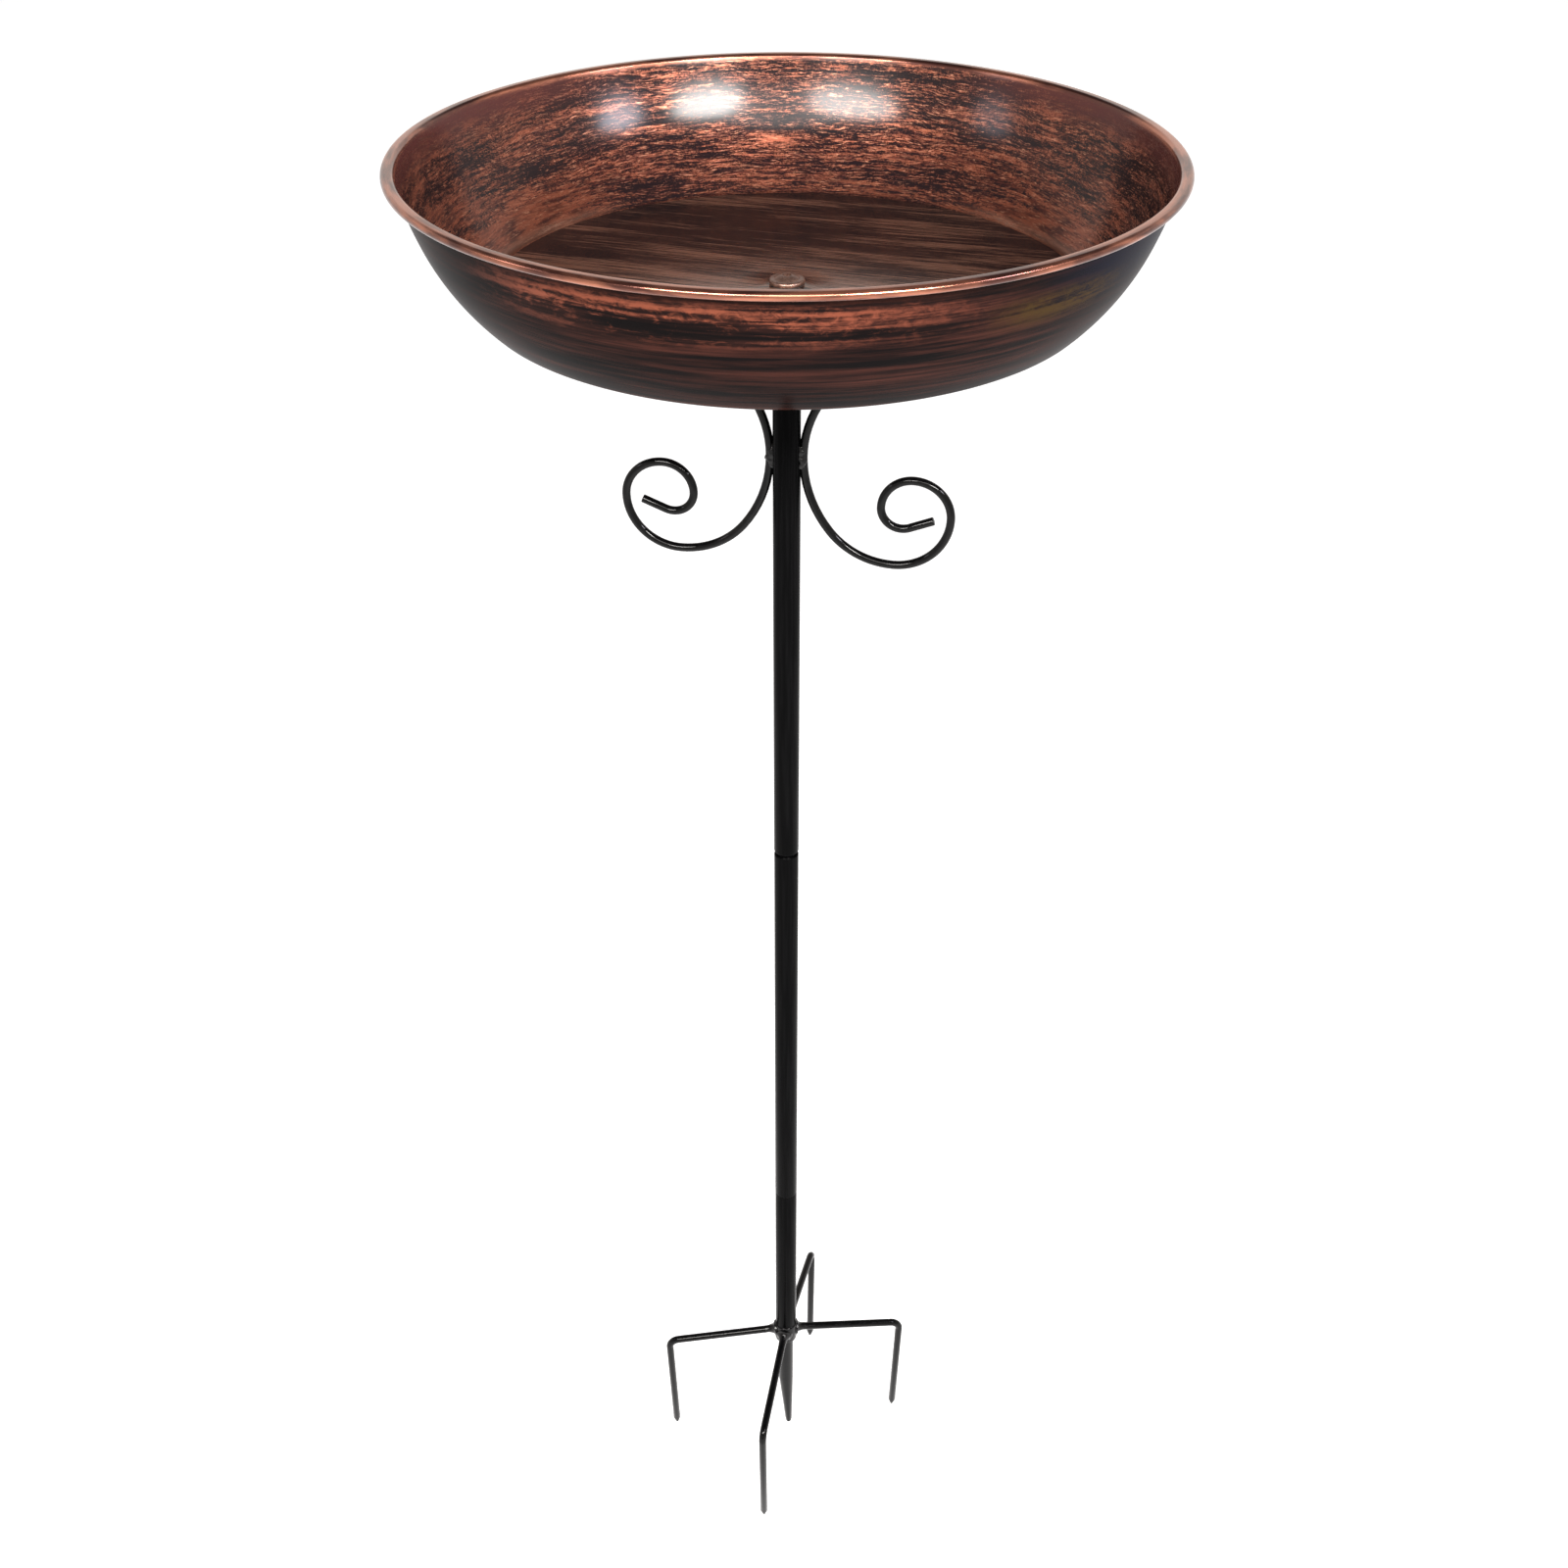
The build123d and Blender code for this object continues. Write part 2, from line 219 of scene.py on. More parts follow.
def rounded(corners, steps=4):
    """A closed outline from corners (radius from the axis, height, corner round)."""
    outline = []
    count = len(corners)
    for index, (x, y, round_radius) in enumerate(corners):
        here = Vector((x, y))
        if not round_radius:
            outline.append((x, y))
            continue
        before = (Vector(corners[index - 1][:2]) - here).normalized()
        after = (Vector(corners[(index + 1) % count][:2]) - here).normalized()
        half = before.angle(after) / 2
        reach = round_radius / abs(sin(half)) * cos(half)
        start = here + before * reach
        end = here + after * reach
        centre = here + (before + after).normalized() * (round_radius / sin(half))
        for step in range(steps + 1):
            spoke = (start - centre).slerp(end - centre, step / steps)
            outline.append(tuple(centre + spoke))
    return outline


def spun(outline, steps, closed=True, runs=None):
    """A turned form about the pole's axis from an outline of (radius, height) points."""
    form = bmesh.new()
    layer = form.verts.layers.float.new("run") if runs else None
    verts = [form.verts.new((radius, 0.0, height)) for radius, height in outline]
    for vert, distance in zip(verts, runs or []):
        vert[layer] = distance * MM
    edges = [form.edges.new(pair) for pair in zip(verts, verts[1:])]
    if closed:
        edges.append(form.edges.new((verts[-1], verts[0])))
    bmesh.ops.spin(
        form,
        geom=verts + edges,
        cent=(0, 0, 0),
        axis=(0, 0, 1),
        angle=2 * pi,
        steps=steps,
        use_merge=True,
    )
    bmesh.ops.remove_doubles(form, verts=form.verts, dist=0.0005)
    bmesh.ops.recalc_face_normals(form, faces=form.faces)
    return form


class Rod:
    """A round rod drawn through straight runs and bends in the upright XZ plane."""

    def __init__(self, radius, start, heading, steps=WIRE_STEPS):
        self.form = bmesh.new()
        self.radius = radius
        self.centre = Vector((start[0], 0, start[1]))
        self.heading = Vector((heading[0], 0, heading[1])).normalized()
        ring = bmesh.ops.create_circle(self.form, cap_ends=False, segments=steps, radius=radius)
        turn = Vector((0, 0, 1)).rotation_difference(self.heading).to_matrix().to_4x4()
        place = Matrix.Translation(self.centre) @ turn
        bmesh.ops.transform(self.form, matrix=place, verts=ring["verts"])
        self.first = list({edge for vert in ring["verts"] for edge in vert.link_edges})
        self.edges = self.first

    def _verts(self):
        return list({vert for edge in self.edges for vert in edge.verts})

    def _extrude(self):
        self.edges = grown_parts(self.form, self.edges)[1]

    def straight(self, length, radius=None):
        """A straight run, tapering to a new radius where one is given."""
        self._extrude()
        verts = self._verts()
        if radius:
            self._scale(verts, radius / self.radius)
            self.radius = radius
        bmesh.ops.translate(self.form, vec=self.heading * length, verts=verts)
        self.centre += self.heading * length

    def _scale(self, verts, factor):
        move = Matrix.Translation(-self.centre)
        bmesh.ops.scale(self.form, vec=(factor,) * 3, space=move, verts=verts)

    def bend(self, radius, turn):
        """A bend, positive from +X towards +Z, in degrees."""
        side = 1 if turn > 0 else -1
        inward = Vector((-self.heading.z, 0, self.heading.x)) * side
        pivot = self.centre + inward * radius
        steps = max(3, int(abs(turn) / 4))
        grown = bmesh.ops.spin(
            self.form,
            geom=self.edges + self._verts(),
            cent=pivot,
            axis=(0, -1, 0),
            angle=radians(turn),
            steps=steps,
        )["geom_last"]
        self.edges = [item for item in grown if isinstance(item, bmesh.types.BMEdge)]
        swing = Matrix.Rotation(-radians(turn), 3, "Y")
        self.centre = pivot + swing @ (self.centre - pivot)
        self.heading = swing @ self.heading

    def end(self, round_radius, steps=3):
        """Rounds the rod's end over and closes it."""
        full = self.radius
        done = 0.0
        for step in range(1, steps + 1):
            angle = pi / 2 * step / steps
            advance = round_radius * sin(angle) - done
            done += advance
            self.straight(advance, full - round_radius * (1 - cos(angle)))
        bmesh.ops.contextual_create(self.form, geom=self.edges)

    def close(self):
        """Closes the rod's first end and returns the finished form."""
        bmesh.ops.contextual_create(self.form, geom=self.first)
        bmesh.ops.recalc_face_normals(self.form, faces=self.form.faces)
        return self.form


def grown_parts(form, edges):
    """Extrudes a loop of edges, and gives the new points and the new loop."""
    grown = bmesh.ops.extrude_edge_only(form, edges=edges)["geom"]
    verts = [item for item in grown if isinstance(item, bmesh.types.BMVert)]
    new_edges = [item for item in grown if isinstance(item, bmesh.types.BMEdge)]
    return verts, [edge for edge in new_edges if set(edge.verts) <= set(verts)]


def turned_to(form, azimuth):
    """Turns a form about the pole's axis."""
    turn = Matrix.Rotation(radians(azimuth), 3, "Z")
    bmesh.ops.rotate(form, cent=(0, 0, 0), matrix=turn, verts=form.verts)
    return form


def joined(forms):
    """Several forms as one."""
    whole = bmesh.new()
    for form in forms:
        spare = bpy.data.meshes.new("spare")
        form.to_mesh(spare)
        whole.from_mesh(spare)
        form.free()
        bpy.data.meshes.remove(spare)
    return whole


def roughened(form, size, depth, seed=0.0):
    """Moves a form's points in and out along their normals, like hand-laid metal."""
    form.normal_update()
    shifts = [
        (vert, vert.normal * depth * noise.noise(vert.co / size + Vector((seed, seed, seed))))
        for vert in form.verts
    ]
    for vert, shift in shifts:
        vert.co += shift


def piece(name, form, node, finishes, sharp=35.0):
    """Makes a form a piece of the feeder, in metres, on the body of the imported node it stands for."""
    bmesh.ops.scale(form, vec=(MM, MM, MM), verts=form.verts)
    mesh = bpy.data.meshes.new(name)
    form.to_mesh(mesh)
    form.free()
    for finish in finishes:
        mesh.materials.append(finish)
    mesh.shade_smooth()
    mesh.set_sharp_from_angle(angle=radians(sharp))
    made = bpy.data.objects.new(name, mesh)
    bpy.context.scene.collection.objects.link(made)
    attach(made, BODY_OF[node])
    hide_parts(node)
    return made




# ---------------------------------------------------------------- finishes


class Finish:
    """A procedural material, built one step at a time."""

    def __init__(self, name, **constants):
        self.material = bpy.data.materials.new(name)
        self.material.use_nodes = True
        self.tree = self.material.node_tree
        self.tree.nodes.clear()
        self.shader = self.tree.nodes.new("ShaderNodeBsdfPrincipled")
        output = self.tree.nodes.new("ShaderNodeOutputMaterial")
        self.tree.links.new(self.shader.outputs["BSDF"], output.inputs["Surface"])
        for socket, value in constants.items():
            self.shader.inputs[socket.replace("_", " ")].default_value = value
        self.place = self.step("ShaderNodeTexCoord").outputs["Object"]

    def step(self, kind, sockets=None, **settings):
        node = self.tree.nodes.new(kind)
        for setting, value in settings.items():
            setattr(node, setting, value)
        for key, value in (sockets or {}).items():
            self.feed(node.inputs[key], value)
        return node

    def feed(self, socket, value):
        if isinstance(value, bpy.types.NodeSocket):
            self.tree.links.new(value, socket)
        else:
            socket.default_value = value

    def surface(self, **sockets):
        for socket, value in sockets.items():
            self.feed(self.shader.inputs[socket.replace("_", " ")], value)
        return self.material

    def run(self):
        """The distance along the dish's section from its centre, in metres."""
        return self.step("ShaderNodeAttribute", attribute_name="run").outputs["Fac"]

    def math(self, operation, a, b=0.0):
        return self.step("ShaderNodeMath", {0: a, 1: b}, operation=operation).outputs[0]

    def times(self, a, b):
        return self.math("MULTIPLY", a, b)

    def plus(self, a, b):
        return self.math("ADD", a, b)

    def ease(self, value, start, end, low_value=0.0, high_value=1.0):
        """A smooth change from one value to another between two limits."""
        sockets = {
            "Value": value,
            "From Min": start,
            "From Max": end,
            "To Min": low_value,
            "To Max": high_value,
        }
        node = self.step("ShaderNodeMapRange", sockets, interpolation_type="SMOOTHSTEP")
        return node.outputs["Result"]

    def stretched(self, x, y, z, turn=0.0, warp=None):
        """Object coordinates turned about Z, bent sideways by a warp and multiplied along each axis."""
        turned = {"Vector": self.place, "Rotation": (0, 0, radians(turn))}
        vector = self.step("ShaderNodeMapping", turned).outputs["Vector"]
        if warp:
            sideways = self.step("ShaderNodeCombineXYZ", {"Y": self.times(*warp)}).outputs["Vector"]
            shifted = {0: vector, 1: sideways}
            vector = self.step("ShaderNodeVectorMath", shifted, operation="ADD").outputs["Vector"]
        scaled = {0: vector, 1: (x, y, z)}
        return self.step("ShaderNodeVectorMath", scaled, operation="MULTIPLY").outputs["Vector"]

    def side_share(self):
        """1 at the dish's left and right sides, falling to 0 at its front and back."""
        across = self.step("ShaderNodeSeparateXYZ", {"Vector": self.place}).outputs["X"]
        return self.ease(self.math("ABSOLUTE", across), SIDE_START, SIDE_FULL)

    def along_ring(self, around, across, run):
        """Coordinates that are long around the dish and short across its wall."""
        parts = self.step("ShaderNodeSeparateXYZ", {"Vector": self.place})
        sockets = {
            "X": self.times(parts.outputs["X"], around),
            "Y": self.times(parts.outputs["Y"], around),
            "Z": self.times(run, across),
        }
        return self.step("ShaderNodeCombineXYZ", sockets).outputs["Vector"]

    def noise(self, vector, scale=1.0, detail=2.0, roughness=0.5, distortion=0.0):
        sockets = {
            "Vector": vector,
            "Scale": scale,
            "Detail": detail,
            "Roughness": roughness,
            "Distortion": distortion,
        }
        return self.step("ShaderNodeTexNoise", sockets).outputs["Fac"]

    def mix(self, factor, a, b):
        """The first colour where the factor is 0, the second where it is 1."""
        node = self.step("ShaderNodeMix", data_type="RGBA")
        self.feed(node.inputs[0], factor)
        for index, value in ((6, a), (7, b)):
            linked = isinstance(value, bpy.types.NodeSocket)
            self.feed(node.inputs[index], value if linked else (*value, 1.0))
        return node.outputs[2]

    def bump(self, height, distance, normal=None):
        """A relief of the given depth in metres, laid over another where one is given."""
        sockets = {"Height": height, "Distance": distance, "Strength": 1.0}
        if normal:
            sockets["Normal"] = normal
        return self.step("ShaderNodeBump", sockets).outputs["Normal"]


# Dish colours
BLACK = (0.0085, 0.0050, 0.0056)
MAROON = (0.070, 0.021, 0.016)
COPPER = (0.26, 0.078, 0.043)
PALE_COPPER = (0.64, 0.30, 0.18)
# Painted reflection: pale tan for the crease band at the dish's sides
CORNER_GLARE_TAN = (0.200, 0.102, 0.068)
# Painted shade: dark maroon under the rim bead at the dish's sides
UNDER_RIM_SHADE_MAROON = (0.062, 0.018, 0.016)
RIM_BROWN = (0.085, 0.030, 0.022)
RIM_COPPER = (0.40, 0.150, 0.090)
FLOOR_BLACK = (0.0080, 0.0052, 0.0052)
FLOOR_COPPER = (0.310, 0.152, 0.100)
SMOKE_BLACK = (0.0028, 0.0020, 0.0021)
SMOKE_BROWN = (0.048, 0.0155, 0.0112)
# Painted shade: near-black for the outer face's left and right sides
SHADED_SIDE_BLACK = (0.0030, 0.0022, 0.0023)
PATCH_COPPER = (0.20, 0.055, 0.030)
BLUED = (0.003, 0.0034, 0.009)
STRAW = (0.034, 0.019, 0.005)

# Colours of the paint, screw, plating and rubber
PAINT_DEEP = (0.0012, 0.0012, 0.0013)
PAINT_THIN = (0.0028, 0.0028, 0.0030)
BRONZE_DARK = (0.150, 0.082, 0.060)
BRONZE_WORN = (0.300, 0.175, 0.130)
ZINC_DARK = (0.46, 0.47, 0.49)
ZINC_LIGHT = (0.66, 0.67, 0.66)
RUBBER_DARK = (0.014, 0.014, 0.014)
RUBBER_LIGHT = (0.030, 0.030, 0.030)

# Where the dish's sides begin and end, as distances from its middle in metres
SIDE_START = 0.075
SIDE_FULL = 0.140


def brushed_wall(floor_end, roll_start):
    """Copper brushed round over black on the dish's wall, running to a smooth rim, with painted
    reflection in the crease and on the lower wall and painted shade under the rim, all at the left and
    right sides.
    """
    finish = Finish(
        "copper_brushed_wall",
        Specular_IOR_Level=0.0,
        Coat_Weight=0.45,
        Coat_Roughness=0.16,
        Coat_IOR=1.42,
    )
    run = finish.run()
    drift = finish.noise(finish.stretched(9, 9, 9), detail=1.0)
    sway = finish.noise(finish.stretched(30, 30, 30), detail=1.0)
    drifted = finish.plus(run, finish.times(drift, 0.012))
    swayed = finish.plus(run, finish.times(sway, 0.012))
    bands = finish.noise(finish.along_ring(17, 150, drifted), detail=4.0, roughness=0.62)
    strokes = finish.noise(finish.along_ring(60, 820, drifted), detail=5.0, roughness=0.75)
    fine_ring = finish.along_ring(210, 1900, swayed)
    fibres = finish.noise(fine_ring, detail=3.0, roughness=0.75, distortion=0.5)
    web = finish.noise(finish.place, scale=900, detail=4.0, roughness=0.8, distortion=0.9)
    sides = finish.side_share()
    cover = finish.plus(finish.times(bands, 0.42), finish.times(web, 0.55))
    directed = finish.plus(finish.times(strokes, 0.75), finish.times(fibres, 0.60))
    directed = finish.times(directed, finish.math("SUBTRACT", 1.0, finish.times(sides, 0.35)))
    cover = finish.plus(cover, directed)
    cover = finish.plus(cover, finish.times(sides, 0.25))
    # Painted reflection: more copper, so lighter, on the lower wall at the left and right sides
    low_sides_glare = finish.times(sides, finish.ease(run, floor_end + 0.035, floor_end + 0.005))
    cover = finish.plus(cover, finish.times(low_sides_glare, 0.16))
    copper = finish.ease(cover, 1.125, 1.30)
    tone = finish.noise(finish.along_ring(60, 420, drifted), detail=3.0)
    metal = finish.mix(finish.ease(tone, 0.32, 0.62), MAROON, COPPER)
    metal = finish.mix(finish.ease(fibres, 0.52, 0.80), metal, PALE_COPPER)
    colour = finish.mix(copper, BLACK, metal)
    # Painted reflection: a pale tan band in the crease just above the floor, at the left and right sides
    corner = finish.times(finish.ease(run, floor_end, floor_end + 0.0006), sides)
    corner = finish.times(corner, finish.ease(run, floor_end + 0.008, floor_end + 0.003))
    colour = finish.mix(finish.times(corner, 0.75), colour, CORNER_GLARE_TAN)
    # Painted shade: the wall darkened just under the rim, at the left and right sides
    under_rim_shade = finish.times(finish.ease(run, roll_start - 0.016, roll_start - 0.002), sides)
    colour = finish.mix(finish.times(under_rim_shade, 0.8), colour, UNDER_RIM_SHADE_MAROON)
    rim = finish.ease(run, roll_start - 0.002, roll_start + 0.001)
    rim_colour = finish.mix(finish.ease(bands, 0.38, 0.60), RIM_BROWN, RIM_COPPER)
    colour = finish.mix(rim, colour, rim_colour)
    height = finish.times(copper, finish.math("SUBTRACT", 1.0, rim))
    return finish.surface(
        Base_Color=colour,
        Metallic=finish.math("MAXIMUM", finish.times(copper, 0.85), finish.times(rim, 0.9)),
        Roughness=finish.ease(rim, 0.0, 1.0, 0.34, 0.20),
        Normal=finish.bump(height, 0.00005),
    )


def brushed_floor():
    """Dark brown brushed straight across the dish's floor, with painted reflection making it more copper
    towards the front.
    """
    finish = Finish(
        "copper_brushed_floor",
        Specular_IOR_Level=0.0,
        Coat_Weight=1.0,
        Coat_Roughness=0.17,
        Coat_IOR=1.48,
    )
    fan = finish.noise(finish.stretched(5, 5, 5), detail=0.0)
    swept = finish.stretched(11, 700, 11, turn=15, warp=(fan, 0.012))
    strokes = finish.noise(swept, detail=5.0, roughness=0.75)
    fine = finish.noise(finish.stretched(30, 1900, 30, turn=17), detail=3.0, roughness=0.75)
    patches = finish.noise(finish.stretched(10, 70, 10, turn=15), detail=3.0)
    cover = finish.plus(finish.times(strokes, 0.75), finish.times(fine, 0.55))
    cover = finish.plus(cover, finish.times(patches, 0.5))
    depth = finish.step("ShaderNodeSeparateXYZ", {"Vector": finish.place}).outputs["Y"]
    # Painted reflection: more copper towards the floor's front (-Y), less towards its back
    cover = finish.plus(cover, finish.ease(depth, 0.080, -0.060, -0.07, 0.12))
    copper = finish.ease(cover, 0.86, 1.06)
    colour = finish.mix(copper, FLOOR_BLACK, FLOOR_COPPER)
    return finish.surface(
        Base_Color=colour,
        Metallic=finish.times(copper, 0.92),
        Roughness=0.30,
        Normal=finish.bump(copper, 0.00004),
    )


def smoked_outside(roll_start):
    """The dish's outer face: mottled copper under the rim, turning to smoked black-brown below, with
    painted shade darkening its left and right sides.
    """
    finish = Finish(
        "copper_smoked_outside",
        Specular_IOR_Level=0.0,
        Coat_Weight=0.28,
        Coat_Roughness=0.13,
        Coat_IOR=1.20,
    )
    run = finish.run()
    below_rim = finish.math("SUBTRACT", roll_start, run)
    strokes = finish.noise(finish.along_ring(14, 420, run), detail=4.0, roughness=0.68)
    mottle = finish.noise(finish.along_ring(150, 300, run), detail=4.0, roughness=0.7, distortion=0.8)
    bands = finish.noise(finish.along_ring(8, 80, run), detail=3.0)
    band = finish.times(finish.ease(below_rim, 0.003, 0.011), finish.ease(below_rim, 0.030, 0.013))
    cover = finish.plus(finish.times(strokes, 0.6), finish.times(mottle, 0.55))
    cover = finish.plus(cover, finish.times(bands, 0.55))
    patches = finish.times(finish.ease(cover, 0.80, 1.02), band)
    streaks = finish.ease(finish.plus(strokes, finish.times(bands, 0.6)), 0.62, 1.16)
    right = finish.step("ShaderNodeSeparateXYZ", {"Vector": finish.place}).outputs["X"]
    shown = finish.times(finish.ease(right, -0.130, -0.080), finish.ease(right, 0.095, 0.000))
    patches = finish.times(patches, shown)
    base = finish.mix(streaks, SMOKE_BLACK, SMOKE_BROWN)
    # Painted shade: the smoked base darkened towards the left and right sides
    base = finish.mix(finish.times(finish.side_share(), 0.7), base, SHADED_SIDE_BLACK)
    colour = finish.mix(patches, base, PATCH_COPPER)
    blued = finish.times(finish.ease(right, 0.090, 0.130), finish.ease(below_rim, 0.035, 0.012))
    colour = finish.mix(finish.times(blued, 0.85), colour, BLUED)
    straw_band = finish.times(finish.ease(below_rim, 0.011, 0.019), finish.ease(below_rim, 0.033, 0.021))
    straw_place = finish.times(finish.ease(right, 0.070, 0.100), finish.ease(right, 0.142, 0.112))
    straw = finish.times(finish.times(straw_band, straw_place), finish.ease(cover, 0.72, 0.98))
    colour = finish.mix(straw, colour, STRAW)
    return finish.surface(
        Base_Color=colour,
        Metallic=finish.times(patches, 0.5),
        Roughness=0.42,
        Normal=finish.bump(cover, 0.00003),
    )


def black_paint(name, grain, gloss, peel=0.00002, dullness=(0.16, 0.28)):
    """Gloss black coating with a faint orange peel and slight changes of depth."""
    finish = Finish(name, Specular_IOR_Level=gloss, IOR=1.5)
    peel_bump = finish.noise(finish.place, scale=900, detail=1.0)
    drawn = finish.noise(finish.stretched(*grain), detail=2.0)
    depth = finish.ease(drawn, 0.35, 0.75)
    colour = finish.mix(depth, PAINT_DEEP, PAINT_THIN)
    normal = finish.bump(drawn, 0.00002)
    return finish.surface(
        Base_Color=colour,
        Roughness=finish.ease(drawn, 0.3, 0.8, *dullness),
        Normal=finish.bump(peel_bump, peel, normal=normal),
    )


def bronze_screw():
    finish = Finish("dark_bronze_screw", Metallic=0.85, Coat_Weight=0.6, Coat_Roughness=0.2)
    worn = finish.noise(finish.place, scale=1200, detail=3.0)
    colour = finish.mix(finish.ease(worn, 0.35, 0.7), BRONZE_DARK, BRONZE_WORN)
    roughness = finish.ease(worn, 0.3, 0.7, 0.34, 0.48)
    return finish.surface(Base_Color=colour, Roughness=roughness, Normal=finish.bump(worn, 0.00002))


def zinc_plate():
    finish = Finish("zinc_plate", Metallic=1.0)
    spangle = finish.noise(finish.place, scale=500, detail=2.0)
    colour = finish.mix(finish.ease(spangle, 0.3, 0.7), ZINC_DARK, ZINC_LIGHT)
    return finish.surface(Base_Color=colour, Roughness=finish.ease(spangle, 0.3, 0.7, 0.25, 0.42))


def black_rubber():
    finish = Finish("black_rubber", Specular_IOR_Level=0.3)
    grain = finish.noise(finish.place, scale=2500, detail=2.0)
    colour = finish.mix(grain, RUBBER_DARK, RUBBER_LIGHT)
    return finish.surface(Base_Color=colour, Roughness=0.75, Normal=finish.bump(grain, 0.00004))


# ---------------------------------------------------------------- dish


def dish_line():
    """The middle of the sheet: from the screw hole over the floor, up the wall and round the rim."""
    floor = DISH_UNDERSIDE + SHEET / 2
    line = Line(SCREW_HOLE_RADIUS, floor + BOSS_RISE)
    line.to(BOSS_RADIUS, floor + BOSS_RISE, steps=2)
    line.to(BOSS_FOOT_RADIUS, floor, steps=2)
    line.to(DISH_RADIUS - WALL_SPREAD, floor, steps=12)
    floor_end = line.run[-1]
    line.arc(*CORNER, steps=8)
    line.arc(*LOWER_WALL, steps=14)
    line.arc(*UPPER_WALL, steps=8)
    roll_start = line.run[-1]
    line.arc(ROLL_RADIUS, -(CORNER[1] + LOWER_WALL[1] + UPPER_WALL[1]), steps=6)
    line.straight(ROLL_FLAT)
    line.arc(ROLL_RADIUS, -180, steps=12)
    line.straight(ROLL_RETURN)
    return line, floor_end, roll_start


def bowl():
    line, floor_end, roll_start = dish_line()
    form = spun(line.points, DISH_STEPS, closed=False, runs=line.run)
    layer = form.verts.layers.float["run"]
    floor_limit = (floor_end + 0.01) * MM
    for face in form.faces:
        face.material_index = int(max(vert[layer] for vert in face.verts) > floor_limit)
    floor_faces = [face for face in form.faces if face.material_index == 0]
    if sum(face.normal.z for face in floor_faces) < 0:
        bmesh.ops.reverse_faces(form, faces=form.faces)
    outside = smoked_outside(roll_start * MM)
    finishes = [brushed_floor(), brushed_wall(floor_end * MM, roll_start * MM), outside]
    made = piece("copper_bowl", form, "bowl", finishes, sharp=32)
    wall = made.modifiers.new("sheet", "SOLIDIFY")
    wall.thickness = SHEET * MM
    wall.offset = 0.0
    wall.use_even_offset = True
    wall.material_offset = 2


# ---------------------------------------------------------------- dish screw and washers


def washer(name, node, finish, bore=WASHER_BORE_RADIUS):
    """A flat ring with softened edges, between a packed washer's faces."""
    base, top, outer = low(node).z, high(node).z, high(node).x
    corners = [
        (bore, base, WASHER_ROUND),
        (outer, base, WASHER_ROUND),
        (outer, top, WASHER_ROUND),
        (bore, top, WASHER_ROUND),
    ]
    return piece(name, spun(rounded(corners, steps=3), TUBE_STEPS), node, [finish])


def screw_head():
    """The domed head, with a hexagon socket sunk into its crown."""
    dome_rise = HEAD_TOP - HEAD_BASE - HEAD_RIM
    dome_radius = (HEAD_RADIUS**2 + dome_rise**2) / (2 * dome_rise)
    spread = asin(HEAD_RADIUS / dome_radius)
    mouth = asin(SOCKET_MOUTH * SOCKET_RADIUS / dome_radius)
    centre = HEAD_TOP - dome_radius
    dome = []
    for step in range(9):
        angle = mouth + (spread - mouth) * step / 8
        dome.append((dome_radius * sin(angle), centre + dome_radius * cos(angle)))
    shank_end = SCREW_END + SCREW_POINT
    outline = dome + [(HEAD_RADIUS, HEAD_BASE), (THREAD_ROOT, HEAD_BASE), (THREAD_ROOT, shank_end)]
    outline += [(THREAD_ROOT - SCREW_POINT, SCREW_END), (0.0, SCREW_END)]
    form = spun(outline, 48, closed=False)
    mouth_edges = [edge for edge in form.edges if edge.is_boundary]
    ring = bmesh.ops.create_circle(form, cap_ends=False, segments=6, radius=SOCKET_RADIUS)
    sides = list({edge for vert in ring["verts"] for edge in vert.link_edges})
    split = bmesh.ops.subdivide_edges(form, edges=sides, cuts=SOCKET_CUTS)["geom_split"]
    lip = [item for item in split if isinstance(item, bmesh.types.BMEdge)]
    lip_verts = list({vert for edge in lip for vert in edge.verts})
    bmesh.ops.translate(form, vec=(0, 0, dome[0][1]), verts=lip_verts)
    bmesh.ops.bridge_loops(form, edges=mouth_edges + lip)
    deep, floor_edges = grown_parts(form, lip)
    bmesh.ops.translate(form, vec=(0, 0, -SOCKET_DEPTH), verts=deep)
    bmesh.ops.contextual_create(form, geom=floor_edges)
    bmesh.ops.recalc_face_normals(form, faces=form.faces)
    return form


def screw_thread():
    """The thread, a ridge wound down the shank."""
    turns = int((HEAD_BASE - SCREW_END - 2) / THREAD_PITCH)
    steps = 24
    form = bmesh.new()
    foot = THREAD_ROOT - THREAD_OVERLAP
    ridge = [(foot, 0.0), (THREAD_RADIUS, 0.42), (THREAD_RADIUS, 0.58), (foot, 1.0)]
    start = SCREW_END + THREAD_START
    verts = [form.verts.new((across, 0.0, start + up * THREAD_PITCH)) for across, up in ridge]
    edges = [form.edges.new(pair) for pair in zip(verts, verts[1:])]
    bmesh.ops.spin(
        form,
        geom=verts + edges,
        cent=(0, 0, 0),
        axis=(0, 0, 1),
        dvec=(0, 0, THREAD_PITCH / steps),
        angle=2 * pi * turns,
        steps=steps * turns,
    )
    bmesh.ops.remove_doubles(form, verts=form.verts, dist=0.002)
    bmesh.ops.holes_fill(form, edges=form.edges, sides=0)
    bmesh.ops.recalc_face_normals(form, faces=form.faces)
    return form


# ---------------------------------------------------------------- pole


